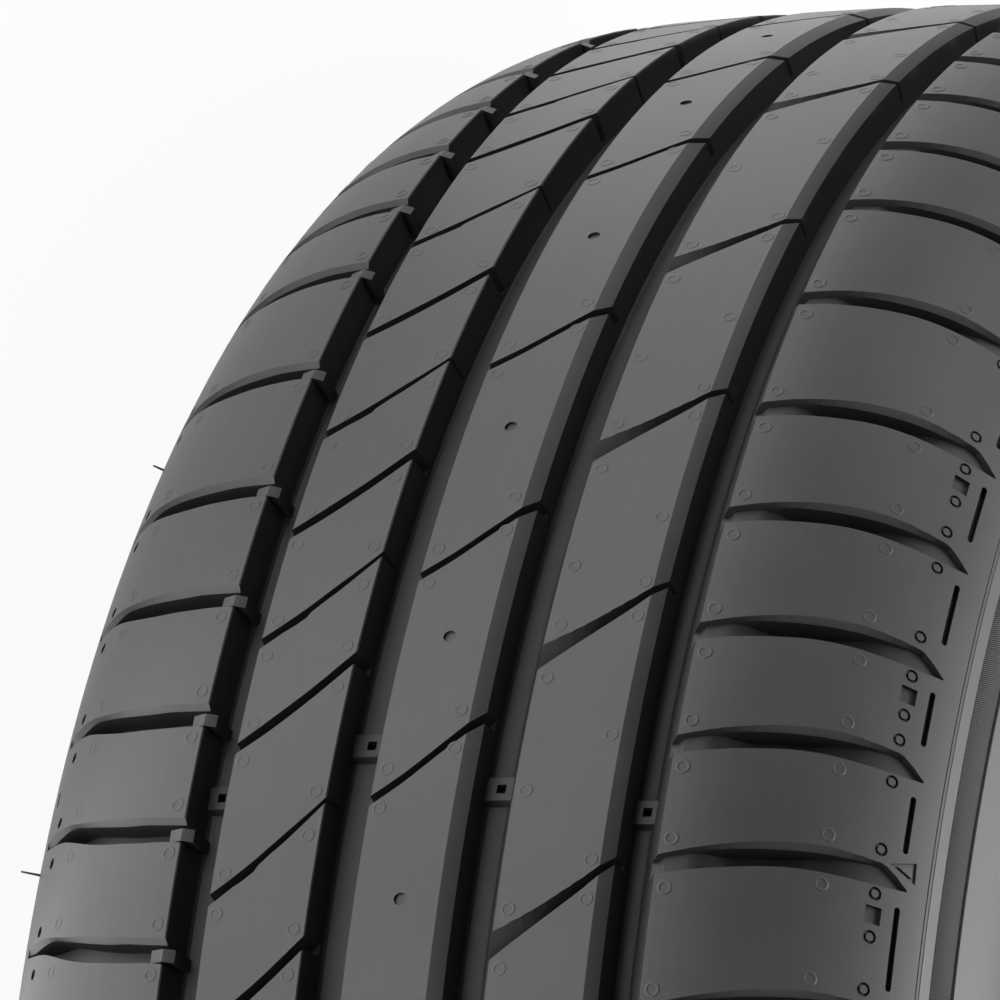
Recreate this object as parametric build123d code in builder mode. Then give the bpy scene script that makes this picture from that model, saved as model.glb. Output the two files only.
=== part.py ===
"""A passenger-car tyre, size 205/55 R16: one moulded and cured rubber body, lying on one sidewall.

Lengths are in mm and angles in degrees. The wheel axis is Z and the tyre's centre is the origin.
Places across the tread are heights above or below the middle plane, and a section is drawn as
(radius, height). Places around the tread are angles up from the front, which faces -Y.
"""

from build123d import *
from itertools import accumulate
from math import asin, cos, degrees, radians, sin, sqrt, tan
import os

os.makedirs("parts", exist_ok=True)

# Driving dimensions: what the size marking stands for
outside_diameter = 632.0
section_width = 214.0
bead_seat_diameter = 405.6
rim_width = 165.1

# Outer shape: arcs of the crown and the shoulder, and the edge where the tread ends
crown_radius = 980.0
shoulder_radius = 63.3
tread_edge_inset = 8.5
tread_edge_step = 0.8

# Straight bands that stand for the round stretches of the section
shoulder_bands = 3
upper_sidewall_bands = 2
lower_sidewall_bands = 3

# Beads
bead_width = 18.0
bead_height = 10.0

# Inside
crown_thickness = 16.5
sidewall_thickness = 10.5
inner_crown_inset = 38.0
inner_shoulder_rise = 19.0
inner_sidewall_foot = 28.0

# Circumferential grooves, in pairs placed evenly about the middle of the tread
groove_depth = 8.0
groove_draft = 6.0
inner_groove_place = 15.4
inner_groove_width = 9.6
outer_groove_place = 47.5
outer_groove_width = 9.0

# Rubber under the grooves that belongs to the tread, and how deep the tread sits in the carcass
tread_base = 4.0
carcass_overlap = 2.0

# Pitch pairs around the tread: their lengths in half degrees, and their order up from the front
pair_lengths = {"S": 19, "M": 21, "L": 23, "X": 25}
pair_order = "LSMXSSXLMXLXMSXLXMXLSXMLXLMXSMXL"
first_pair_angle = 10.1

# Shoulder slots, two to a pitch pair: a slanted channel that runs out near the edge of the tread. Its
# bend and its end are set in from that edge
shoulder_slot_width = 3.0
shoulder_slot_depth = 6.0
shoulder_slot_bend_inset = 22.5
shoulder_slot_end_inset = 5.5
shoulder_slot_tilt = 9.0
upper_shoulder_shift = 3.1

# Slots across the second rib, two to a pitch pair: a plain one and one with a wide mouth
rib_slot_depth = 6.5
left_slot_shift = 7.7
left_slot_rise = 24.0
left_slot_width = 1.9
stepped_slot_share = 0.47
stepped_slot_width = 3.2
stepped_slot_end = 0.9
stepped_slot_length = 11.0

# Slots across the fourth rib, one to a pitch pair, that narrow on their way
wedge_slot_shift = 10.9
wedge_slot_rise = 19.5
wedge_slot_mouth = 5.2
wedge_slot_end = 1.0

# How far cutters reach past what they cut
cut_margin = 3.0
mouth_overlap = 1.5

outer_radius = outside_diameter / 2
half_width = section_width / 2
seat_radius = bead_seat_diameter / 2
bead_face = rim_width / 2
bead_top = seat_radius + bead_height
tread_edge = half_width - tread_edge_inset

# The shoulder arc touches the crown arc and stands upright at the widest point
shoulder_centre = half_width - shoulder_radius
crown_centre = outer_radius - crown_radius
widest_radius = crown_centre + sqrt((crown_radius - shoulder_radius) ** 2 - shoulder_centre**2)


def crown_at(height):
    """Radius of the crown arc at a height from the middle plane."""
    return crown_centre + sqrt(crown_radius**2 - height**2)


def shoulder_at(height):
    """Radius of the shoulder arc at a height from the middle plane."""
    return widest_radius + sqrt(shoulder_radius**2 - (height - shoulder_centre) ** 2)


def shoulder_turn(height):
    """Turn of the shoulder arc from straight outward to a height."""
    return degrees(asin((height - shoulder_centre) / shoulder_radius))


def shoulder_points(start, end, bands, depth=0.0):
    """Points of the shoulder arc between two turns, or of an arc some depth below it."""
    turns = [radians(start + (end - start) * band / bands) for band in range(bands + 1)]
    radius = shoulder_radius - depth
    return [(widest_radius + radius * cos(turn), shoulder_centre + radius * sin(turn)) for turn in turns]


def around(angle):
    """Location that turns what is drawn along +X to an angle up from the front."""
    return Location((0, 0, 0), (0, 0, 270 - angle))


# Tread: ribs and grooves from the middle out, then the shoulder down to the tread's edge
inner_groove_inside = inner_groove_place - inner_groove_width / 2
inner_groove_outside = inner_groove_place + inner_groove_width / 2
outer_groove_inside = outer_groove_place - outer_groove_width / 2
outer_groove_outside = outer_groove_place + outer_groove_width / 2
groove_narrowing = groove_depth * tan(radians(groove_draft))
groove_floor = outer_radius - groove_depth
groove_turn = shoulder_turn(outer_groove_outside)
edge_turn = shoulder_turn(tread_edge)
base_radius = groove_floor - tread_base
tread_outline = [
    (base_radius, 0),
    (outer_radius, 0),
    (crown_at(inner_groove_inside), inner_groove_inside),
    (groove_floor, inner_groove_inside + groove_narrowing),
    (groove_floor, inner_groove_outside - groove_narrowing),
    (crown_at(inner_groove_outside), inner_groove_outside),
    (crown_at(outer_groove_inside), outer_groove_inside),
    (groove_floor, outer_groove_inside + groove_narrowing),
    (groove_floor, outer_groove_outside - groove_narrowing),
    *shoulder_points(groove_turn, edge_turn, shoulder_bands),
    (shoulder_at(tread_edge) - tread_base, tread_edge),
    *shoulder_points(groove_turn, edge_turn, shoulder_bands, tread_base + carcass_overlap)[-2:0:-1],
    (base_radius, outer_groove_outside),
]

# Carcass: under the tread, down the sidewall to the bead, and back along the inside
bulge_turns = [radians(90 * band / lower_sidewall_bands) for band in range(lower_sidewall_bands + 1)]
inner_half_width = half_width - sidewall_thickness
carcass_outline = [
    (base_radius + carcass_overlap, 0),
    (base_radius + carcass_overlap, outer_groove_outside),
    *shoulder_points(groove_turn, edge_turn, shoulder_bands, tread_base)[1:-1],
    (shoulder_at(tread_edge) - tread_edge_step, tread_edge),
    *shoulder_points(edge_turn, 90, upper_sidewall_bands)[1:-1],
    *[
        (
            widest_radius - (widest_radius - bead_top) * sin(turn),
            half_width - (half_width - bead_face) * (1 - cos(turn)),
        )
        for turn in bulge_turns
    ],
    (seat_radius, bead_face),
    (seat_radius, bead_face - bead_width),
    (seat_radius + inner_sidewall_foot, inner_half_width),
    (widest_radius + inner_shoulder_rise, inner_half_width),
    (outer_radius - crown_thickness, half_width - inner_crown_inset),
    (outer_radius - crown_thickness, 0),
]

with BuildPart() as tyre:
    with BuildSketch(Plane.XZ):
        with BuildLine():
            Polyline(*carcass_outline, close=True)
        make_face()
        mirror(about=Plane.XZ)
    revolve(axis=Axis.Z)

# Tread segments, one to half a pitch pair: straight along the tread and mitred to meet their neighbours
pair_angles = [pair_lengths[pair] / 2 for pair in pair_order]
pair_starts = list(accumulate(pair_angles[:-1], initial=first_pair_angle))
widest_half_angle = max(pair_angles) / 4
for pair in pair_lengths:
    half_angle = pair_lengths[pair] / 8
    chord_scale = cos(radians(half_angle)) / cos(radians(widest_half_angle))
    with BuildPart() as segment:
        with BuildSketch(Plane.XZ):
            with BuildLine():
                Polyline(*[(radius * chord_scale, height) for radius, height in tread_outline], close=True)
            make_face()
            mirror(about=Plane.XZ)
        extrude(amount=outer_radius * radians(2 * half_angle), both=True)
        split(bisect_by=Plane.XZ.rotated((0, 0, half_angle)), keep=Keep.TOP)
        split(bisect_by=Plane.XZ.rotated((0, 0, -half_angle)), keep=Keep.BOTTOM)
    centres = [
        start + share * angle
        for start, angle, name in zip(pair_starts, pair_angles, pair_order)
        if name == pair
        for share in (0.25, 0.75)
    ]
    with tyre:
        with Locations([around(centre) for centre in centres]):
            add(segment.part)

# A shoulder slot, drawn from its side: it opens into the outer groove and rises to the surface
shoulder_slot_bend = tread_edge - shoulder_slot_bend_inset
shoulder_slot_reach = tread_edge - shoulder_slot_end_inset
with BuildPart() as shoulder_slot:
    with BuildSketch(Plane(Location((0, 0, outer_groove_outside), (90 + shoulder_slot_tilt, 0, 0)))):
        with BuildLine():
            Polyline(
                (crown_at(outer_groove_outside) - shoulder_slot_depth, -mouth_overlap),
                (shoulder_at(shoulder_slot_bend) - shoulder_slot_depth, shoulder_slot_bend - outer_groove_outside),
                (shoulder_at(shoulder_slot_reach), shoulder_slot_reach - outer_groove_outside),
                (outer_radius + cut_margin, shoulder_slot_reach - outer_groove_outside),
                (outer_radius + cut_margin, -mouth_overlap),
                close=True,
            )
        make_face()
    extrude(amount=shoulder_slot_width / 2, both=True)

# Slots of the ribs, drawn from above the tread: across is +Y, which runs down the front
rib_inside = inner_groove_outside - mouth_overlap
rib_outside = outer_groove_inside + mouth_overlap
rib_plane = Plane.YZ.offset(crown_at(rib_inside) - rib_slot_depth)
rib_slot_height = rib_slot_depth + cut_margin
with BuildPart() as plain_slot:
    with BuildSketch(rib_plane):
        with BuildLine():
            Polyline(
                (0, -rib_outside),
                (-left_slot_width, -rib_outside),
                (-left_slot_width - left_slot_rise, -rib_inside),
                (-left_slot_rise, -rib_inside),
                close=True,
            )
        make_face()
    extrude(amount=rib_slot_height)

step_place = stepped_slot_length - rib_outside
step_rise = left_slot_rise * stepped_slot_length / (rib_outside - rib_inside)
with BuildPart() as stepped_slot:
    with BuildSketch(rib_plane):
        with BuildLine():
            Polyline(
                (0, -rib_outside),
                (-stepped_slot_width, -rib_outside),
                (-stepped_slot_width - left_slot_rise, -rib_inside),
                (stepped_slot_end - stepped_slot_width - left_slot_rise, -rib_inside),
                (stepped_slot_end - stepped_slot_width - step_rise, step_place),
                (-step_rise, step_place),
                close=True,
            )
        make_face()
    extrude(amount=rib_slot_height)

with BuildPart() as wedge_slot:
    with BuildSketch(rib_plane):
        with BuildLine():
            Polyline(
                (0, rib_inside),
                (-wedge_slot_mouth, rib_inside),
                (-wedge_slot_rise - wedge_slot_end, rib_outside),
                (-wedge_slot_rise, rib_outside),
                close=True,
            )
        make_face()
    extrude(amount=rib_slot_height)

half_pair_starts = pair_starts + [start + angle / 2 for start, angle in zip(pair_starts, pair_angles)]
stepped_starts = [start + angle * stepped_slot_share for start, angle in zip(pair_starts, pair_angles)]
rows = (
    (shoulder_slot.part, half_pair_starts, upper_shoulder_shift),
    (mirror(shoulder_slot.part, about=Plane.XY), half_pair_starts, 0),
    (plain_slot.part, pair_starts, left_slot_shift),
    (stepped_slot.part, stepped_starts, left_slot_shift),
    (wedge_slot.part, pair_starts, wedge_slot_shift),
)
with tyre:
    for slot, starts, shift in rows:
        with Locations([around(start + shift) for start in starts]):
            add(slot, mode=Mode.SUBTRACT)

tyre.part.label = "tyre"
export_step(tyre.part, "parts/tyre.step")
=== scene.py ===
from itertools import accumulate
from math import asin, atan2, ceil, cos, degrees, pi, radians, sin, sqrt, tan

import bmesh
import bpy
import numpy as np
from mathutils import Matrix, Vector


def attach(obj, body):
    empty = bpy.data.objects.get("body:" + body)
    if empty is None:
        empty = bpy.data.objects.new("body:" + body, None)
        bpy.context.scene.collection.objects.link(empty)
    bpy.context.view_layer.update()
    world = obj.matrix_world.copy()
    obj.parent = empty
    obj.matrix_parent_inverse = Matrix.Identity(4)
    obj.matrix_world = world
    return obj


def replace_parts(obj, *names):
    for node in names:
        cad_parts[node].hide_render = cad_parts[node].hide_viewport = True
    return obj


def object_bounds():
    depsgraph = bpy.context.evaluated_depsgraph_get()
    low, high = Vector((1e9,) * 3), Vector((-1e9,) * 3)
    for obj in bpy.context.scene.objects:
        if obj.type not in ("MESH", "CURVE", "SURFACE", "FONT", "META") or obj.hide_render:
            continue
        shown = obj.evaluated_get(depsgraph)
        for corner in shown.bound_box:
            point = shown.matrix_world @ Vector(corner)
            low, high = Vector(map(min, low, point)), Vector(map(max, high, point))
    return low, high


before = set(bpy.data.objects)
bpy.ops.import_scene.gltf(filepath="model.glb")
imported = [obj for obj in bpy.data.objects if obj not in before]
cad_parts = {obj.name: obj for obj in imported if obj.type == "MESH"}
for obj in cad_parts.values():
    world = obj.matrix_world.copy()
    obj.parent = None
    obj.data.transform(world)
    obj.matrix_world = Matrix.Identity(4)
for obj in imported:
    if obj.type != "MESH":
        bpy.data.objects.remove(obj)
cad_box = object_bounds()

# Lengths are in millimetres and angles in degrees. Places across the tread are heights from its middle
# plane, and places around it are angles up from the front, as in the tyre's solid. The floor, the lamps
# and the camera are placed in metres.
MM = 0.001

# Section of the tyre, which keeps within the solid's box
outer_radius = 316.0
half_width = 106.999
crown_radius = 980.0
shoulder_radius = 63.3
tread_edge = 98.0
seat_radius = 202.8
bead_face = 82.55
bead_width = 18.0
bead_height = 10.0
bead_heel = 4.0
crown_thickness = 16.5
sidewall_thickness = 10.5

# Inside of the bead: the toe's chamfer, places as (distance out from the seat, distance across from the
# toe), and the start of the inner wall as (distance out from the seat, distance short of the wall)
toe_chamfer = 1.0
toe_slope = ((14.0, 15.0), (22.0, 25.0))
liner_start = (34.0, 1.5)

shoulder_centre = half_width - shoulder_radius
crown_centre = outer_radius - crown_radius
widest_radius = crown_centre + sqrt((crown_radius - shoulder_radius) ** 2 - shoulder_centre**2)
crown_turn = asin(shoulder_centre / (crown_radius - shoulder_radius))
crown_length = crown_radius * crown_turn
widest_length = crown_length + shoulder_radius * (pi / 2 - crown_turn)
bead_top = seat_radius + bead_height

# Facets: around the tyre, along slots and fillets, on the sidewall, the bead's heel and the inside, and
# around circles, the ends of dashes, vent marks and hairs
ring_segments = 288
slot_step = 3.0
fillet_step = 0.6
sidewall_steps = 8
heel_steps = 5
liner_steps = 6
circle_sides = 16
dash_end_sides = 6
vent_sides = 14
hair_sides = 6

# Rows of facets by their heights: on the right shoulder, and on the rib to the right of each groove
shoulder_rows = (58, 62, 66, 70, 74, 78, 82, 85.5, 89, 92, 95, 97, tread_edge)
rib_rows = ((-37.2, -31.2, -25.0), (-6, -1.5, 3.5), (25, 31, 37), ())

# Turns past which an edge is sharp, on the tyre and on its small marks
sharp_turn = 25.0
mark_sharp_turn = 50.0

# The tread is cut as a flat block that is closed at its seam. Features reach past their own angles by no
# more than the seam's reach. Points nearer than touch to a plane lie in it, points nearer than the weld
# distance to each other are one, and edges that turn by less than the straight turn are in line.
seam_angle = -140.0
seam_reach = 16.0
slab_depth = 14.0
touch = 0.001
weld_distance = 0.002
straight_turn = 1.146

# Grooves: left and right edges, how far their right walls lean, and the fillets at the walls' feet
groove_depth = 8.0
groove_draft = 0.7
groove_edge_round = 0.25
grooves = (
    (-51.4, -42.9, 0.7, 1.5, 1.5),
    (-20.3, -10.7, 0.7, 1.5, 1.5),
    (10.7, 20.2, 3.9, 1.5, 1.0),
    (43.6, 52.5, 4.6, 1.2, 1.0),
)

# Chamfers by the groove's left edge: the height where each one starts on the rib
rib_chamfers = {10.7: 7.8, 43.6: 41.0}
rib_chamfer_depth = 1.5

# Pitch pairs around the tread: their lengths in half degrees, and their order up from the front
pair_lengths = {"S": 19, "M": 21, "L": 23, "X": 25}
pair_order = "LSMXSSXLMXLXMSXLXMXLSXMLXLMXSMXL"
first_pair_angle = 10.05
pair_angles = [pair_lengths[pair] / 2 for pair in pair_order]
pair_starts = list(accumulate(pair_angles[:-1], initial=first_pair_angle))
pitch_starts = sorted(
    start + share * angle for start, angle in zip(pair_starts, pair_angles) for share in (0, 0.5)
)

# Turns of the rows of features from the pair starts
right_shift = 3.15
left_rib_shift = 7.9
stepped_share = 0.47
sipe_shift = 5.7
stepped_starts = [start + angle * stepped_share for start, angle in zip(pair_starts, pair_angles)]

# Slots as (height, angle) along their lower edge, the top of their upper wall and its rim, and as
# (height, depth) along their floor. The upper wall slopes to the rim from the depth of its turn.
left_slot = {
    "low": [
        (-95, 1.25), (-92.8, 1.12), (-90, 0.97), (-86.3, 0.76), (-78, 0.12),
        (-72, -0.21), (-67.2, -0.36), (-61, -0.51), (-55.3, -0.58), (-48, -0.75),
    ],
    "high": [
        (-95, 1.42), (-92.8, 1.36), (-86.3, 1.33), (-79, 0.95), (-72, 0.60),
        (-66, 0.39), (-61, 0.30), (-56.5, 0.19), (-48, 0.05),
    ],
    "rim": [
        (-95, 1.70), (-92.8, 1.65), (-86.3, 1.45), (-79, 1.10), (-72, 0.84),
        (-66, 0.65), (-61, 0.52), (-56.8, 0.42), (-48, 0.30),
    ],
    "floor": [(-95, 0.5), (-92.5, 4.0), (-88, 6.0), (-82, 6.4), (-48, 6.4)],
}
right_slot = {
    "low": [
        (50, -0.58), (52.4, -0.51), (57.7, -0.31), (67, 0.02), (75.9, 0.33),
        (81.5, 0.44), (87, 0.49), (92.2, 0.56), (95.4, 0.68),
    ],
    "high": [
        (50, 0.10), (51.9, 0.18), (58.6, 0.48), (66, 0.77), (74.9, 1.05),
        (83.4, 1.29), (88.7, 1.39), (91.8, 1.44), (95.4, 0.74),
    ],
    "rim": [
        (50, 0.12), (52.4, 0.24), (63.2, 0.80), (75.1, 1.31), (83.6, 1.52),
        (89, 1.52), (91.8, 1.47), (95.4, 0.76),
    ],
    "floor": [
        (50, 3.0), (52.0, 3.0), (53.9, 1.5), (59.0, 1.5), (67.5, 6.2),
        (77, 6.4), (84, 3.0), (90, 1.4), (95.4, 1.1),
    ],
}
plain_slot = {
    "low": [(-45.5, -0.66), (-42.2, -0.22), (-35.9, 0.65), (-28.3, 1.89), (-20.6, 3.33), (-17, 4.0)],
    "high": [(-45.5, -0.24), (-42.6, 0.18), (-36.4, 1.11), (-28.8, 2.33), (-20.8, 3.83), (-17, 4.54)],
    "floor": [(-45.5, 6.5), (-17, 6.5)],
}
stepped_slot = {
    "low": [
        (-45.5, -0.65), (-42.4, -0.24), (-38.1, 0.40), (-33.7, 1.02), (-33.0, 1.25),
        (-28.2, 2.11), (-21.5, 3.45), (-17, 4.4),
    ],
    "high": [
        (-45.5, -0.2), (-42.5, 0.21), (-38.5, 0.77), (-34, 1.47), (-28.6, 2.42),
        (-22.3, 3.55), (-17, 4.62),
    ],
    "floor": [(-45.5, 6.5), (-17, 6.5)],
}
sipe = {
    "low": [
        (-13, -0.70), (-10.5, -0.36), (-4.7, 0.44), (2.7, 1.67), (5.3, 2.10),
        (7.8, 2.50), (10.6, 3.02), (13, 3.4),
    ],
    "high": [
        (-13, -0.30), (-10.5, 0.04), (-4.7, 0.84), (2.7, 2.07), (5.3, 2.52),
        (7.8, 2.95), (10.6, 3.50), (13, 3.85),
    ],
    "floor": [(-13, 5.5), (13, 5.5)],
}
wedge_slot = {
    "low": [
        (17.5, 10.35), (20.2, 10.80), (26, 11.70), (33, 12.75), (38, 13.53),
        (41, 14.05), (43.6, 14.56), (46, 14.8),
    ],
    "high": [
        (17.5, 10.50), (20.2, 10.95), (26, 11.85), (33, 12.95), (38, 13.85),
        (41, 14.36), (43.6, 14.84), (46, 15.06),
    ],
    "rim": [
        (17.5, 11.55), (20.8, 11.92), (28.1, 12.70), (34.4, 13.50), (38, 13.98),
        (41, 14.43), (43.6, 14.88), (46, 15.1),
    ],
    "floor": [(17.5, 5.5), (46, 5.5)],
    "turn": 4.2,
}

# Walls of slots: how far they lean in and over which depth, the least distances from the lower edge to
# the upper wall and to the floor's far side, as multiples of that lean, and the depth of the upper wall's
# turn where a slot has none of its own, and its greatest share of the slot's depth
slot_draft = 0.2
slot_draft_run = 6.0
slot_least_width = 1.6
slot_least_floor = 1.3
slot_turn = 1.0
slot_turn_share = 0.6

# How far cutters stand above the tread, and the share of their width by which the outer walls of rings
# and triangles lean in
clear_height = 1.0
loop_lean = 0.15

# Tongues of the left slots' mouths: angles of their sides, and (height, depth) along their tops
tongue_sides = (-0.55, -0.05)
tongue_line = ((-55.0, -1.0), (-51.9, -0.4), (-49.6, -1.6))
tongue_base = -9.0

# Wear bars as (groove, angle, height of the pit in the bar), and the marks that point to them
wear_bars = ((0, 27.96, -47.6), (1, 29.96, -15.7), (2, 28.06, 14.7), (3, 27.1, 46.85))
wear_bar_turns = [60.0 * turn for turn in range(6)]
wear_bar_length = 5.2
wear_bar_slope = 0.8
wear_bar_height = 1.6
wear_bar_overlap = 1.0
wear_pit_size = 1.0
wear_pit_depth = 2.5
wear_pit_clearance = 0.5
wear_triangle = [(92.38, 26.30), (96.26, 26.75), (96.41, 25.77)]
wear_triangle_inside = 0.5
wear_triangle_depth = 0.4
wear_dash_height = -94.3
wear_dash_ends = (29.5, 30.2)

# Rings, pits, dashes and squares pressed into the tread
ring_outside = 1.5
ring_inside = 0.85
ring_depth = 0.6
right_ring_height = 91.0
right_ring_turns = (0.2, 2.05)
extra_ring_turn = -1.58
pit_radius = 1.2
pit_depth = 1.5
pit_height = -90.2
pit_turns = (0.2, 2.0)
middle_pit_height = -0.5
middle_pit_radius = 1.35
middle_pit_depth = 0.6
middle_pit_shift = 2.75
middle_pit_share = 0.41
dash_height = 94.43
dash_width = 1.35
dash_depth = 1.5
dash_ends = (2.22, -0.05)
square_heights = (89.85, 92.25)
square_turns = (-1.04, -0.32)
square_depth = 0.8

# Vent marks as (height, angle) from the start of each row's feature
left_vents = [(-54, 0.9), (-54, -1.05), (-82.7, 1.85), (-82.7, -0.1)]
right_vents = [(54.9, 0.9), (54.9, -1.0), (82.6, 2.0), (82.6, 0.0)]
left_rib_vents = [(-40.7, -0.6), (-40.2, 0.97), (-23.0, 4.16), (-23.0, 2.4)]
middle_vents = [(5.5, 3.48), (5.8, 1.9), (-8.1, 1.11), (-8.2, -0.48)]
right_rib_vents = [(39.0, 14.66), (39.1, 13.14), (23.0, 12.75), (22.7, 10.49), (38.9, 8.13), (22.9, 5.87)]
vent_radius = 1.25
vent_width = 0.9
vent_rise = 0.07
vent_shoulder_rise = vent_rise * 0.7
vent_root = 0.12

# Edge of the tread, as (distance past the edge, depth): a parting line, a ridge, and the hatched band
edge_profile = (
    (0.1, -0.12), (0.25, -0.12), (0.4, 0.0), (0.95, 0.0), (1.05, -0.12), (1.25, -0.05),
    (4.0, -0.3), (4.3, -0.75), (10.4, -0.6), (10.7, -0.1),
)
band_start = 4.4
band_end = 10.3
band_depth = 0.7
tooth_count = 3400
tooth_slant = 1.0
tooth_width = 0.5
tooth_height = 0.35
tooth_root = 0.3

# Two rubber hairs on the left shoulder: heights, angles and lengths
hairs = ((-94.9, 47.4, 2.4), (-99.0, 27.1, 4.0))
hair_radius = 0.3
hair_taper = 0.6
hair_root = 0.5

# Rubber: the shades of its clouds and the part of the noise between them, streaks, gloss and grain
rubber_dark = (0.088, 0.088, 0.090)
rubber_light = (0.116, 0.116, 0.118)
cloud_range = (0.4, 0.85)
cloud_scale = 22.0
streak_scale = (6.0, 6.0, 700.0)
streak_share = 0.22
rubber_roughness = (0.42, 0.56)
rubber_gloss = 0.55
grain_scale = 1500.0
grain_strength = 0.15
grain_height = 0.0002
# Painted shade: the hatched band's rubber is a darker copy, standing in for the light that its teeth trap
painted_band_shade = 0.3

# Painted shade in recesses, where walls and deep places are darkened: its colour, the outward share of a
# wall's normal below which it darkens, the span to the full dark, and the depth of the full dark
painted_shade_colour = (0.034, 0.034, 0.035, 1)
wall_shade_lean = 0.85
wall_shade_span = 0.35
full_shade_depth = 3.0

# Floor and surroundings
floor_reach = 6.0
floor_colour = (0.85, 0.85, 0.85, 1)
floor_roughness = 0.9
floor_white = 0.95
world_strength = 0.05
white = (1, 1, 1, 1)

# Lamps as (name, place, spot that they face, size, watts); those at table level face up
table = cad_box[0][2] + 0.0005
lamps = (
    ("over", (0.0, 0.9, 2.3), (0, 0, 0), (1.8, 1.8), 78),
    ("left", (-0.35, -0.66, table), (-0.35, -0.66, 1), (1.4, 0.8), 3.3),
    ("top", (-0.62, 0.12, table), (-0.62, 0.12, 1), (0.5, 0.5), 0.6),
    ("upper", (-1.8, 0.3, 1.0), (-0.3, 0, 0), (0.8, 0.8), 4),
    ("far", (-0.95, -0.3, table), (-0.95, -0.3, 1), (0.7, 0.7), 1.0),
    ("back", (0.4, 0.62, table), (0.4, 0.62, 1), (1.2, 0.8), 3.5),
)

# Camera: its place, the directions back to it and to the picture's right, and its lens in millimetres
camera_place = (-0.1846, -1.8324, 0.6805)
camera_back = (0.01096, -0.91987, 0.39208)
camera_right = (0.0257, 0.3922, 0.9195)
camera_lens = 306.0
camera_sensor = 36.0


def surface(distance):
    """Radius, height and outward normal of the smooth outside, by distance across it from the middle."""
    length = abs(distance)
    side = 1 if distance >= 0 else -1
    if length <= crown_length:
        turn = length / crown_radius
        radius = crown_centre + crown_radius * cos(turn)
        height = crown_radius * sin(turn)
    else:
        turn = crown_turn + (length - crown_length) / shoulder_radius
        radius = widest_radius + shoulder_radius * cos(turn)
        height = shoulder_centre + shoulder_radius * sin(turn)
    return radius, side * height, cos(turn), side * sin(turn)


def across(height):
    """Distance across the outside from the middle to a height."""
    side = 1 if height >= 0 else -1
    level = abs(height)
    if level <= crown_radius * sin(crown_turn):
        return side * crown_radius * asin(level / crown_radius)
    turn = asin((level - shoulder_centre) / shoulder_radius)
    return side * (crown_length + shoulder_radius * (turn - crown_turn))


def on_tyre(radius, height, angle):
    """A point in metres, by its angle up from the front."""
    azimuth = radians(270 - angle)
    return Vector((radius * cos(azimuth), radius * sin(azimuth), height)) * MM


def wrapped(distance, depth, angle):
    """A point some way along the outside's normal."""
    radius, height, out, up = surface(distance)
    return on_tyre(radius + depth * out, height + depth * up, angle)


# In flat space the tread is unrolled: x runs around it, y across it and z out of it, in millimetres
FLAT_TURN = outer_radius * pi / 180
edge_distance = across(tread_edge)


def flat_spot(angle, height):
    """A place on the tread's surface in flat space."""
    return angle * FLAT_TURN, across(height)


def flat(angle, height, level):
    """A point above or below the tread's surface in flat space."""
    return (*flat_spot(angle, height), level)


def flat_frame(x, y):
    """Directions on the tyre of flat space's axes at a place."""
    azimuth = radians(270 - x / FLAT_TURN)
    out, up = surface(y)[2:]
    around = Vector((sin(azimuth), -cos(azimuth), 0))
    outward = Vector((out * cos(azimuth), out * sin(azimuth), up))
    upward = Vector((-up * cos(azimuth), -up * sin(azimuth), out))
    return Matrix((around, upward, outward)).transposed()


def in_slab(angles, margin=seam_reach):
    """The angles, turned into the slab's range, and twice where they lie within a margin of its seam.

    What is joined to the slab takes no margin, so that nothing stands outside it."""
    found = []
    for angle in angles:
        turned = seam_angle + (angle - seam_angle) % 360
        found.append(turned)
        if turned < seam_angle + margin:
            found.append(turned + 360)
        if turned > seam_angle + 360 - margin:
            found.append(turned - 360)
    return found


def new_object(name, data):
    """An object in the scene that holds a mesh, a lamp or a camera."""
    made = bpy.data.objects.new(name, data)
    bpy.context.scene.collection.objects.link(made)
    return made


def signed_volume(points, faces):
    """Volume within faces, negative where they face inward."""
    spots = np.array(points) - np.array(points[0])
    volume = 0.0
    for face in faces:
        for second, third in zip(face[1:-1], face[2:]):
            volume += np.dot(spots[face[0]], np.cross(spots[second], spots[third])) / 6
    return volume


class Solids:
    """Closed solids gathered into one mesh."""

    def __init__(self):
        self.points = []
        self.faces = []

    def add(self, points, faces):
        """Takes in a solid, with its faces turned outward."""
        base = len(self.points)
        if signed_volume(points, faces) < 0:
            faces = [face[::-1] for face in faces]
        self.points += points
        self.faces += [tuple(base + index for index in face) for face in faces]

    def sweep(self, sections, closed=False):
        """A solid through sections with equally many points, with ends or as a closed ring."""
        count = len(sections[0])
        points = [point for section in sections for point in section]
        faces = []
        for step in range(len(sections) if closed else len(sections) - 1):
            low = step * count
            high = (step + 1) % len(sections) * count
            for index in range(count):
                after = (index + 1) % count
                faces.append((low + index, low + after, high + after, high + index))
        if not closed:
            last = len(points) - count
            faces.append(tuple(range(count - 1, -1, -1)))
            faces.append(tuple(range(last, last + count)))
        self.add(points, faces)

    def mesh(self, name):
        """The mesh of all the solids."""
        made = bpy.data.meshes.new(name)
        made.from_pydata(self.points, [], self.faces)
        return made


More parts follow.
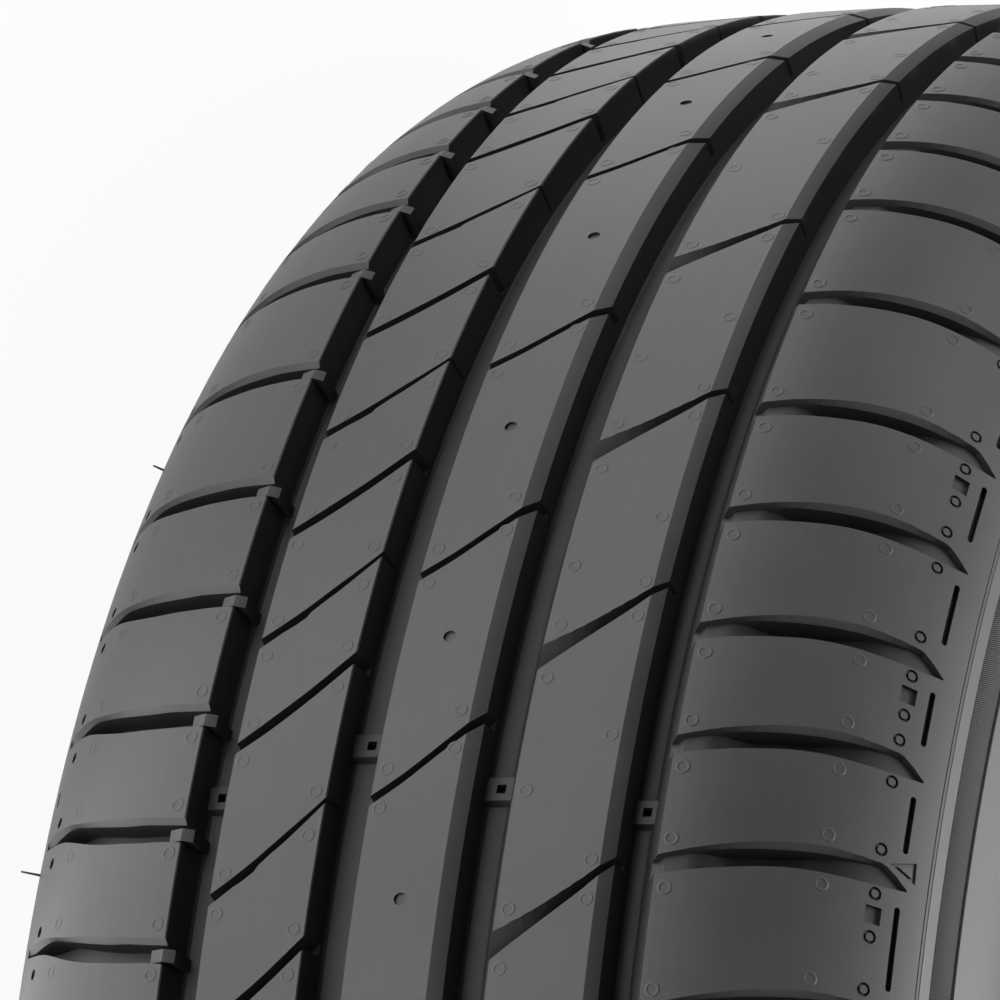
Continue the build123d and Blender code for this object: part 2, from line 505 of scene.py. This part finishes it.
def smooth_track(points, heights):
    """Values along measured points, without overshoot between them."""
    places = np.array([point[0] for point in points], dtype=float)
    values = np.array([point[1] for point in points], dtype=float)
    steps = np.diff(places)
    slopes = np.diff(values) / steps
    bends = np.zeros(len(places))
    bends[0] = slopes[0]
    bends[-1] = slopes[-1]
    for index in range(1, len(places) - 1):
        before, after = slopes[index - 1], slopes[index]
        if before * after > 0:
            bends[index] = 2 * before * after / (before + after)
    spans = np.clip(np.searchsorted(places, heights, side="right") - 1, 0, len(steps) - 1)
    step = steps[spans]
    share = (np.array(heights) - places[spans]) / step
    return (
        values[spans] * (1 + 2 * share) * (1 - share) ** 2
        + bends[spans] * step * share * (1 - share) ** 2
        + values[spans + 1] * share**2 * (3 - 2 * share)
        + bends[spans + 1] * step * share**2 * (share - 1)
    )


def cut_slot(cutters, angle, shape):
    """A slot between two edges, with a floor of its own depth and sometimes a sloping rim."""
    floor = shape["floor"]
    first, last = floor[0][0], floor[-1][0]
    breaks = sorted({point[0] for key in ("low", "floor") for point in shape[key]})
    heights = [first]
    for start, end in zip(breaks[:-1], breaks[1:]):
        steps = ceil((end - start) / slot_step)
        heights += [start + (end - start) * (step + 1) / steps for step in range(steps)]
    heights = [height for height in heights if first <= height <= last]
    lows = smooth_track(shape["low"], heights) + angle
    highs = smooth_track(shape["high"], heights) + angle
    rims = smooth_track(shape.get("rim", shape["high"]), heights) + angle
    depths = smooth_track(floor, heights)
    inset = slot_draft / FLAT_TURN
    sections = []
    for height, low, high, rim, depth in zip(heights, lows, highs, rims, depths):
        turn = min(shape.get("turn", slot_turn), depth * slot_turn_share)
        high = max(high, low + inset * slot_least_width)
        rim = max(rim, high)
        over = rim + (rim - high) / turn * clear_height
        sections.append(
            [
                flat(low - inset * clear_height / slot_draft_run, height, clear_height),
                flat(low + inset, height, -depth),
                flat(max(high - inset, low + inset * slot_least_floor), height, -depth),
                flat(high, height, -turn),
                flat(over, height, clear_height),
            ]
        )
    cutters.sweep(sections)


def cut_prism(cutters, outline, bottom, top=clear_height):
    """A straight recess with an outline in flat space."""
    cutters.sweep([[(x, y, level) for x, y in outline] for level in (top, bottom)])


def cut_loop(cutters, outside, inside, depth):
    """A groove between two outlines in flat space."""
    sections = []
    for (x, y), (inner_x, inner_y) in zip(outside, inside):
        near_x = x + (inner_x - x) * loop_lean
        near_y = y + (inner_y - y) * loop_lean
        sections.append(
            [
                (x, y, clear_height),
                (near_x, near_y, -depth),
                (inner_x, inner_y, -depth),
                (inner_x, inner_y, clear_height),
            ]
        )
    cutters.sweep(sections, closed=True)


def circle(angle, height, radius, sides=circle_sides):
    """A circle on the tyre, in flat space, where lengths around it grow towards the shoulders."""
    x, y = flat_spot(angle, height)
    stretch = outer_radius / surface(y)[0]
    turns = [2 * pi * side / sides for side in range(sides)]
    return [(x + radius * stretch * sin(turn), y + radius * cos(turn)) for turn in turns]


def cut_ring(cutters, angle, height):
    """A ring-shaped groove."""
    cut_loop(cutters, circle(angle, height, ring_outside), circle(angle, height, ring_inside), ring_depth)


def cut_dash(cutters, height, low, high):
    """A narrow recess around the tread, with round ends."""
    reach = dash_width / 2
    middle = across(height)
    start = low * FLAT_TURN + reach
    end = high * FLAT_TURN - reach
    turns = [pi * side / dash_end_sides for side in range(dash_end_sides + 1)]
    outline = [(start - reach * sin(turn), middle + reach * cos(turn)) for turn in turns]
    outline += [(end + reach * sin(turn), middle - reach * cos(turn)) for turn in turns]
    cut_prism(cutters, outline, -dash_depth)


def cut_triangle(cutters, turn):
    """The outline of a triangle beside the wear bars."""
    corners = [flat_spot(angle + turn, height) for height, angle in wear_triangle]
    middle = np.mean(corners, axis=0)
    inside = [tuple(middle + (np.array(corner) - middle) * wear_triangle_inside) for corner in corners]
    cut_loop(cutters, corners, inside, wear_triangle_depth)


def cut_wear_pit(cutters, angle, height):
    """A square pit in the top of a wear bar."""
    x, y = flat_spot(angle, height)
    size = wear_pit_size
    outline = ((x - size, y - size), (x - size, y + size), (x + size, y + size), (x + size, y - size))
    bar_top = wear_bar_height - groove_depth
    cut_prism(cutters, outline, bar_top - wear_pit_depth, bar_top + wear_pit_clearance)


def slot_mesh():
    """All the slots of the shoulders and ribs."""
    slots = Solids()
    for start in in_slab(pitch_starts):
        cut_slot(slots, start, left_slot)
        cut_slot(slots, start + right_shift, right_slot)
    for start in in_slab(pair_starts):
        cut_slot(slots, start + left_rib_shift, plain_slot)
        cut_slot(slots, start + sipe_shift, sipe)
        cut_slot(slots, start, wedge_slot)
    for start in in_slab(stepped_starts):
        cut_slot(slots, start + left_rib_shift, stepped_slot)
    return slots.mesh("slots")


def mark_mesh():
    """Rings, pits, squares and dashes pressed into the tread."""
    marks = Solids()
    for start in in_slab(pitch_starts):
        for turn in pit_turns:
            cut_prism(marks, circle(start + turn, pit_height, pit_radius), -pit_depth)
        for turn in right_ring_turns:
            cut_ring(marks, start + right_shift + turn, right_ring_height)
    for start in in_slab(pair_starts):
        cut_ring(marks, start + right_shift + extra_ring_turn, right_ring_height)
        low, high = (start + right_shift + turn for turn in square_turns)
        near, far = square_heights
        corners = ((low, near), (low, far), (high, far), (high, near))
        cut_prism(marks, [flat_spot(angle, height) for angle, height in corners], -square_depth)
    middle_pits = [
        start + (sipe_shift + middle_pit_shift + middle_pit_share * angle)
        for start, angle in zip(pair_starts, pair_angles)
    ]
    for angle in in_slab(middle_pits):
        cut_prism(marks, circle(angle, middle_pit_height, middle_pit_radius), -middle_pit_depth)
    pitch_ends = pitch_starts[1:] + [pitch_starts[0] + 360]
    for start, end in zip(pitch_starts, pitch_ends):
        for low in in_slab([start + right_shift + dash_ends[0]]):
            cut_dash(marks, dash_height, low, low + end - start + dash_ends[1] - dash_ends[0])
    return marks.mesh("marks")


def wear_mark_mesh():
    """Triangles and dashes at the tread's edges, and the pits of the wear bars."""
    marks = Solids()
    for turn in in_slab(wear_bar_turns):
        cut_triangle(marks, turn)
        cut_dash(marks, wear_dash_height, *(end + turn for end in wear_dash_ends))
    for _, angle, height in wear_bars:
        for turned in in_slab([angle + turn for turn in wear_bar_turns]):
            cut_wear_pit(marks, turned, height)
    return marks.mesh("wear_marks")


def wear_bar_mesh():
    """Low bars across the grooves, which reach into the rubber around them."""
    bars = Solids()
    reach = wear_bar_length / 2
    foot = reach + wear_bar_slope
    base = -groove_depth - wear_bar_overlap
    top = wear_bar_height - groove_depth
    half = ((foot, base), (foot, -groove_depth), (reach, top))
    profile = [(-x, z) for x, z in half] + list(reversed(half))
    for groove, bar_angle, _ in wear_bars:
        left, right = grooves[groove][:2]
        ends = (across(left - wear_bar_overlap), across(right + wear_bar_overlap))
        for angle in in_slab([bar_angle + turn for turn in wear_bar_turns], margin=0):
            bars.sweep([[(angle * FLAT_TURN + x, end, z) for x, z in profile] for end in ends])
    return bars.mesh("wear_bars")


def tongue_mesh():
    """Small tongues in the mouths of the left slots."""
    tongues = Solids()
    for start in in_slab(pitch_starts, margin=0):
        low, high = (start + turn for turn in tongue_sides)
        sections = []
        for height, top in tongue_line:
            corners = ((low, tongue_base), (high, tongue_base), (high, top), (low, top))
            sections.append([flat(angle, height, level) for angle, level in corners])
        tongues.sweep(sections)
    return tongues.mesh("tongues")


def fillet(draft, radius):
    """The curve between a groove's wall and floor, as (distance in from the wall's foot, height)."""
    lean = atan2(draft, groove_depth)
    reach = radius * tan((pi / 2 - lean) / 2)
    steps = ceil(radius / fillet_step)
    turns = [lean + (pi / 2 - lean) * step / steps for step in range(steps + 1)]
    return [(reach - radius * cos(turn), radius * (1 - sin(turn))) for turn in turns]


def groove_rows(left, right, right_draft, left_fillet, right_fillet):
    """A groove's section as (distance across, level) points."""
    start, end = across(left), across(right)
    foot, toe = start + groove_draft, end - right_draft
    if left in rib_chamfers:
        rows = [(across(rib_chamfers[left]), 0.0), (start, -rib_chamfer_depth)]
    else:
        rows = [(start - groove_edge_round, 0.0), (start, -groove_edge_round)]
    for inset, rise in fillet(groove_draft, left_fillet):
        rows.append((foot + inset, rise - groove_depth))
    for inset, rise in reversed(fillet(right_draft, right_fillet)):
        rows.append((toe - inset, rise - groove_depth))
    return rows + [(end, -groove_edge_round), (end + groove_edge_round, 0.0)]


def tread_rows():
    """The tread's section from its left edge to its right one."""
    shoulder = [(across(height), 0.0) for height in shoulder_rows]
    rows = [(-distance, level) for distance, level in reversed(shoulder)]
    for groove, heights in zip(grooves, rib_rows):
        rows += groove_rows(*groove)
        rows += [(across(height), 0.0) for height in heights]
    return rows + shoulder


def slab_mesh():
    """The unrolled tread as a closed block with its grooves."""
    rows = tread_rows()
    count = len(rows)
    points, faces = [], []
    for segment in range(ring_segments + 1):
        x = (seam_angle + 360 * segment / ring_segments) * FLAT_TURN
        points += [(x, distance, level) for distance, level in rows]
        points += [(x, distance, -slab_depth) for distance, level in rows]
    for segment in range(ring_segments):
        low = segment * 2 * count
        high = low + 2 * count
        for row in range(count - 1):
            under, over = low + count + row, high + count + row
            faces.append((low + row, high + row, high + row + 1, low + row + 1))
            faces.append((under, under + 1, over + 1, over))
        faces.append((low, low + count, high + count, high))
        faces.append((low + count - 1, high + count - 1, high + 2 * count - 1, low + 2 * count - 1))
    end = ring_segments * 2 * count
    for row in range(count - 1):
        faces.append((row, row + 1, row + 1 + count, row + count))
        faces.append((end + row, end + row + count, end + row + 1 + count, end + row + 1))
    mesh = bpy.data.meshes.new("tread_block")
    mesh.from_pydata(points, [], faces)
    return mesh


def combine(target, mesh, operation):
    """Joins a mesh to the target or cuts it out."""
    tool = new_object("tool", mesh)
    modifier = target.modifiers.new(operation, "BOOLEAN")
    modifier.operation = operation
    modifier.solver = "EXACT"
    modifier.object = tool
    evaluated = target.evaluated_get(bpy.context.evaluated_depsgraph_get())
    result = bpy.data.meshes.new_from_object(evaluated)
    target.modifiers.clear()
    target.data = result
    bpy.data.objects.remove(tool)


def mark_sharp(shape):
    """Smooths the faces up to the edges that turn sharply."""
    for face in shape.faces:
        face.smooth = True
    for edge in shape.edges:
        edge.smooth = len(edge.link_faces) == 2 and edge.calc_face_angle() < radians(sharp_turn)


def keep_normals(mesh):
    """Smooths the flat mesh up to its sharp edges and notes the directions of its corners."""
    shape = bmesh.new()
    shape.from_mesh(mesh)
    mark_sharp(shape)
    shape.to_mesh(mesh)
    shape.free()
    normals = np.empty(len(mesh.loops) * 3)
    mesh.corner_normals.foreach_get("vector", normals)
    corners = np.empty(len(mesh.loops), dtype=int)
    mesh.loops.foreach_get("vertex_index", corners)
    frames = [flat_frame(vertex.co.x, vertex.co.y) for vertex in mesh.vertices]
    turned = [frames[corner] @ Vector(normal) for corner, normal in zip(corners, normals.reshape(-1, 3))]
    layer = mesh.attributes.new("bent_normal", "FLOAT_VECTOR", "CORNER")
    layer.data.foreach_set("vector", np.array(turned).ravel())


def quarter_turns(steps):
    """Angles in radians from none to a quarter turn."""
    return [pi / 2 * step / steps for step in range(steps + 1)]


def body_rows():
    """(radius, height) from the tread's right edge over sidewall and bead, and back inside to the middle."""
    rows = []
    steps = [(edge_distance + past, depth) for past, depth in edge_profile]
    start, dip = steps[-1]
    for step in range(1, sidewall_steps + 1):
        share = step / sidewall_steps
        steps.append((start + (widest_length - start) * share, dip * (1 - share)))
    for distance, depth in steps:
        radius, height, out, up = surface(distance)
        rows.append((radius + depth * out, height + depth * up))
    for turn in quarter_turns(sidewall_steps)[1:]:
        bulge = (half_width - bead_face) * (1 - cos(turn))
        rows.append((widest_radius - (widest_radius - bead_top) * sin(turn), half_width - bulge))
    for turn in quarter_turns(heel_steps):
        rows.append((seat_radius + bead_heel * (1 - sin(turn)), bead_face - bead_heel * (1 - cos(turn))))
    toe = bead_face - bead_width
    rows += [(seat_radius, toe + toe_chamfer), (seat_radius + toe_chamfer, toe)]
    rows += [(seat_radius + out, toe + aside) for out, aside in toe_slope]
    inner_half_width = half_width - sidewall_thickness
    inner_radius = outer_radius - crown_thickness
    rows.append((seat_radius + liner_start[0], inner_half_width - liner_start[1]))
    shoulder = inner_radius - widest_radius
    for turn in quarter_turns(liner_steps):
        rows.append((widest_radius + shoulder * sin(turn), inner_half_width - shoulder * (1 - cos(turn))))
    return rows + [(inner_radius, (inner_half_width - shoulder) / 2), (inner_radius, 0)]


def cut_tread():
    """The flat tread with all its cuts, open below, at its sides and at the seam."""
    block = new_object("tread_block", slab_mesh())
    combine(block, wear_bar_mesh(), "UNION")
    combine(block, slot_mesh(), "DIFFERENCE")
    combine(block, tongue_mesh(), "UNION")
    combine(block, mark_mesh(), "DIFFERENCE")
    combine(block, wear_mark_mesh(), "DIFFERENCE")
    keep_normals(block.data)
    shape = bmesh.new()
    shape.from_mesh(block.data)
    bpy.data.objects.remove(block)
    ends = (seam_angle * FLAT_TURN, (seam_angle + 360) * FLAT_TURN)
    unwanted = []
    for face in shape.faces:
        spots = [vertex.co for vertex in face.verts]
        at_side = all(abs(abs(spot.y) - edge_distance) < touch for spot in spots)
        at_end = any(all(abs(spot.x - end) < touch for spot in spots) for end in ends)
        below = all(spot.z < touch - slab_depth for spot in spots)
        if at_side or at_end or below:
            unwanted.append(face)
    bmesh.ops.delete(shape, geom=unwanted, context="FACES")
    return shape


def bend(shape):
    """Bends the flat tread round the tyre, and notes which places are walls and recesses, for the painted
    shade there.
    """
    # Painted shade: how far each face is a wall and how deep each point lies, to darken the rubber there
    wall = shape.faces.layers.float.new("wall")
    for face in shape.faces:
        face[wall] = min(1.0, max(0.0, (wall_shade_lean - face.normal.z) / wall_shade_span))
    recess = shape.verts.layers.float.new("recess")
    for vertex in shape.verts:
        vertex[recess] = min(1.0, max(0.0, -vertex.co.z / full_shade_depth))
        vertex.co = wrapped(vertex.co.y, vertex.co.z, vertex.co.x / FLAT_TURN)


def add_rings(shape):
    """Adds the sidewalls, the beads and the inside as rings of facets."""
    angles = [seam_angle + 360 * segment / ring_segments for segment in range(ring_segments)]
    for side in (1, -1):
        ring = [shape.verts.new(wrapped(side * edge_distance, 0, angle)) for angle in angles]
        for radius, height in body_rows():
            before = ring
            ring = [shape.verts.new(on_tyre(radius, side * height, angle)) for angle in angles]
            for index in range(ring_segments):
                shape.faces.new((before[index], before[index - 1], ring[index - 1], ring[index]))


def is_spare(vertex):
    """Whether a vertex lies between two edges in one line."""
    return len(vertex.link_edges) == 2 and vertex.calc_edge_angle(1) < radians(straight_turn)


def tyre_mesh():
    """The whole tyre: the cut tread, bent round, and rings of facets for the rest."""
    shape = cut_tread()
    bend(shape)
    add_rings(shape)
    bmesh.ops.remove_doubles(shape, verts=shape.verts[:], dist=weld_distance * MM)
    bmesh.ops.dissolve_verts(shape, verts=[vertex for vertex in shape.verts if is_spare(vertex)])
    bmesh.ops.recalc_face_normals(shape, faces=shape.faces[:])
    mark_sharp(shape)
    mesh = bpy.data.meshes.new("tyre_body")
    shape.to_mesh(mesh)
    shape.free()
    normals = np.empty(len(mesh.loops) * 3)
    mesh.attributes["bent_normal"].data.foreach_get("vector", normals)
    mesh.normals_split_custom_set(normals.reshape(-1, 3))
    mesh.attributes.remove(mesh.attributes["bent_normal"])
    return mesh


def vent_mesh():
    """Small raised rings where the mould let the air out."""
    rows = (
        (pitch_starts, 0, left_vents),
        (pitch_starts, right_shift, right_vents),
        (pair_starts, left_rib_shift, left_rib_vents),
        (stepped_starts, left_rib_shift, left_rib_vents),
        (pair_starts, sipe_shift, middle_vents),
        (pair_starts, 0, right_rib_vents),
    )
    vents = Solids()
    for starts, shift, places in rows:
        for start in starts:
            for height, turn in places:
                add_vent(vents, start + shift + turn, height)
    return smooth(vents.mesh("vent_marks"))


def add_vent(vents, angle, height):
    """A ring with a rounded section."""
    half = vent_width / 2
    section = (
        (half, -vent_root),
        (half / 2, vent_shoulder_rise),
        (0.0, vent_rise),
        (-half / 2, vent_shoulder_rise),
        (-half, -vent_root),
    )
    outlines = [circle(angle, height, vent_radius + offset, vent_sides) for offset, level in section]
    sections = []
    for side in range(vent_sides):
        spots = [(outline[side], level) for outline, (offset, level) in zip(outlines, section)]
        sections.append([tuple(wrapped(y, level, x / FLAT_TURN)) for (x, y), level in spots])
    vents.sweep(sections, closed=True)


def band_mesh(side):
    """Slanting teeth of the hatched band."""
    teeth = Solids()
    base = -band_depth - tooth_root
    top = tooth_height - band_depth
    for tooth in range(tooth_count):
        angle = 360 * tooth / tooth_count
        sections = []
        for past, turn in ((band_start, 0), (band_end, tooth_slant)):
            distance = side * (edge_distance + past)
            width = degrees(tooth_width / 2 / surface(distance)[0])
            middle = angle + turn
            corners = ((middle - width, base), (middle + width, base), (middle, top))
            sections.append([tuple(wrapped(distance, level, place)) for place, level in corners])
        teeth.sweep(sections)
    return teeth.mesh("hatched_band")


def hair_mesh():
    """Thin rubber hairs that stand out from the shoulder."""
    strands = Solids()
    turns = [2 * pi * side / hair_sides for side in range(hair_sides)]
    for height, angle, length in hairs:
        distance = across(height)
        root = wrapped(distance, -hair_root, angle)
        outward = (wrapped(distance, 1, angle) - wrapped(distance, 0, angle)).normalized()
        tip = root + outward * (length + hair_root) * MM
        aside = outward.orthogonal().normalized() * hair_radius * MM
        other = outward.cross(aside)
        ring = [aside * cos(turn) + other * sin(turn) for turn in turns]
        start = [tuple(root + spot) for spot in ring]
        end = [tuple(tip + spot * hair_taper) for spot in ring]
        strands.sweep([start, end])
    return smooth(strands.mesh("hairs"))


def smooth(mesh):
    """Smooths a small mark up to its sharp edges."""
    mesh.polygons.foreach_set("use_smooth", [True] * len(mesh.polygons))
    mesh.set_sharp_from_angle(angle=radians(mark_sharp_turn))
    return mesh


def add_node(material, kind, **values):
    """A shader node with values for its inputs."""
    node = material.node_tree.nodes.new(kind)
    for name, value in values.items():
        node.inputs[name].default_value = value
    return node


def add_math(material, operation):
    """A shader node that reckons with numbers."""
    node = material.node_tree.nodes.new("ShaderNodeMath")
    node.operation = operation
    return node


def rubber(name, shade):
    """Matt moulded rubber: faint clouds, streaks that run round the tyre, a fine grain, and painted shade on
    walls and in recesses.
    """
    material = bpy.data.materials.new(name)
    material.use_nodes = True
    nodes, links = material.node_tree.nodes, material.node_tree.links
    shader = nodes["Principled BSDF"]
    place = nodes.new("ShaderNodeTexCoord")
    cloud = add_node(material, "ShaderNodeTexNoise", Scale=cloud_scale, Detail=5.0, Roughness=0.6)
    links.new(place.outputs["Object"], cloud.inputs["Vector"])
    stretch = add_node(material, "ShaderNodeMapping", Scale=streak_scale)
    links.new(place.outputs["Object"], stretch.inputs["Vector"])
    streak = add_node(material, "ShaderNodeTexNoise", Scale=1.0, Detail=3.0)
    links.new(stretch.outputs["Vector"], streak.inputs["Vector"])
    blend = add_math(material, "MULTIPLY_ADD")
    blend.inputs[1].default_value = streak_share
    links.new(streak.outputs["Fac"], blend.inputs[0])
    links.new(cloud.outputs["Fac"], blend.inputs[2])
    tint = nodes.new("ShaderNodeValToRGB")
    # Both cloud colours are multiplied by the shade, which below one is painted shade
    for stop, position, colour in zip(tint.color_ramp.elements, cloud_range, (rubber_dark, rubber_light)):
        stop.position = position
        stop.color = [value * shade for value in colour] + [1]
    links.new(blend.outputs[0], tint.inputs["Fac"])
    # Painted shade: walls and recesses are darkened towards the painted shade colour
    inside = add_math(material, "MAXIMUM")
    for socket, attribute in zip(inside.inputs, ("wall", "recess")):
        reader = nodes.new("ShaderNodeAttribute")
        reader.attribute_name = attribute
        links.new(reader.outputs["Fac"], socket)
    painted_shade = nodes.new("ShaderNodeMix")
    painted_shade.data_type = "RGBA"
    painted_shade.inputs["B"].default_value = painted_shade_colour
    links.new(inside.outputs[0], painted_shade.inputs["Factor"])
    links.new(tint.outputs["Color"], painted_shade.inputs["A"])
    links.new(painted_shade.outputs["Result"], shader.inputs["Base Color"])
    sheen = nodes.new("ShaderNodeMapRange")
    sheen.inputs["To Min"].default_value = rubber_roughness[0]
    sheen.inputs["To Max"].default_value = rubber_roughness[1]
    links.new(cloud.outputs["Fac"], sheen.inputs["Value"])
    links.new(sheen.outputs["Result"], shader.inputs["Roughness"])
    grain = add_node(material, "ShaderNodeTexNoise", Scale=grain_scale, Detail=2.0)
    links.new(place.outputs["Object"], grain.inputs["Vector"])
    bump = add_node(material, "ShaderNodeBump", Strength=grain_strength, Distance=grain_height)
    links.new(grain.outputs["Fac"], bump.inputs["Height"])
    links.new(bump.outputs["Normal"], shader.inputs["Normal"])
    shader.inputs["Specular IOR Level"].default_value = rubber_gloss
    return material


def add_piece(name, mesh, material):
    """A piece of the tyre, which rides on its one body."""
    piece = new_object(name, mesh)
    mesh.materials.append(material)
    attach(piece, "root")
    return piece


def floor_material():
    """White where it is seen or mirrored, and a plain matt surface to the lamps."""
    material = bpy.data.materials.new("white_floor")
    material.use_nodes = True
    nodes, links = material.node_tree.nodes, material.node_tree.links
    shader = nodes["Principled BSDF"]
    shader.inputs["Base Color"].default_value = floor_colour
    shader.inputs["Roughness"].default_value = floor_roughness
    glow = add_node(material, "ShaderNodeEmission", Color=white, Strength=1.0)
    path = nodes.new("ShaderNodeLightPath")
    seen = add_math(material, "MAXIMUM")
    links.new(path.outputs["Is Camera Ray"], seen.inputs[0])
    links.new(path.outputs["Is Glossy Ray"], seen.inputs[1])
    share = add_math(material, "MULTIPLY")
    share.inputs[1].default_value = floor_white
    links.new(seen.outputs[0], share.inputs[0])
    mix = nodes.new("ShaderNodeMixShader")
    links.new(share.outputs[0], mix.inputs["Fac"])
    links.new(shader.outputs["BSDF"], mix.inputs[1])
    links.new(glow.outputs["Emission"], mix.inputs[2])
    links.new(mix.outputs[0], nodes["Material Output"].inputs["Surface"])
    return material


def add_floor():
    """A white floor that takes the tyre's shadow."""
    ground = cad_box[0][2]
    reach = floor_reach
    mesh = bpy.data.meshes.new("floor")
    corners = ((-reach, -reach), (reach, -reach), (reach, reach), (-reach, reach))
    mesh.from_pydata([(x, y, ground) for x, y in corners], [], [(0, 1, 2, 3)])
    mesh.materials.append(floor_material())
    plane = new_object("floor", mesh)


def add_lamp(name, place, target, size, power):
    """A rectangular lamp that isn't seen itself."""
    light = bpy.data.lights.new(name, "AREA")
    light.shape = "RECTANGLE"
    light.size, light.size_y = size
    light.energy = power
    lamp = new_object(name, light)
    lamp.location = place
    lamp.visible_camera = False
    lamp.rotation_euler = (Vector(target) - Vector(place)).to_track_quat("-Z", "Y").to_euler()


def add_world():
    """Dim light all round, and white where it is seen."""
    world = bpy.data.worlds.new("studio")
    bpy.context.scene.world = world
    world.use_nodes = True
    nodes, links = world.node_tree.nodes, world.node_tree.links
    soft = nodes["Background"]
    soft.inputs["Color"].default_value = white
    soft.inputs["Strength"].default_value = world_strength
    backdrop = nodes.new("ShaderNodeBackground")
    backdrop.inputs["Strength"].default_value = 1.0
    path = nodes.new("ShaderNodeLightPath")
    mix = nodes.new("ShaderNodeMixShader")
    links.new(path.outputs["Is Camera Ray"], mix.inputs["Fac"])
    links.new(soft.outputs["Background"], mix.inputs[1])
    links.new(backdrop.outputs["Background"], mix.inputs[2])
    links.new(mix.outputs[0], nodes["World Output"].inputs["Surface"])


def add_camera():
    """A long lens, rolled so that the wheel's axis runs across the picture."""
    view = bpy.data.cameras.new("photo_view")
    view.sensor_width = camera_sensor
    view.lens = camera_lens
    back = Vector(camera_back).normalized()
    right = Vector(camera_right)
    right = (right - back * right.dot(back)).normalized()
    turn = Matrix((right, back.cross(right), back)).transposed().to_4x4()
    camera = new_object("photo_view", view)
    camera.matrix_world = Matrix.Translation(camera_place) @ turn
    bpy.context.scene.camera = camera


black_rubber = rubber("rubber", 1.0)
# The hatched band's rubber is the same rubber darkened by painted shade
shaded_band_rubber = rubber("shaded_band_rubber", painted_band_shade)
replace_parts(add_piece("tyre_body", tyre_mesh(), black_rubber), "tyre")
add_piece("vent_marks", vent_mesh(), black_rubber)
add_piece("right_band", band_mesh(1), shaded_band_rubber)
add_piece("left_band", band_mesh(-1), shaded_band_rubber)
add_piece("hairs", hair_mesh(), black_rubber)

add_floor()
add_world()
for lamp in lamps:
    add_lamp(*lamp)
add_camera()
bpy.context.scene.view_settings.view_transform = "Standard"
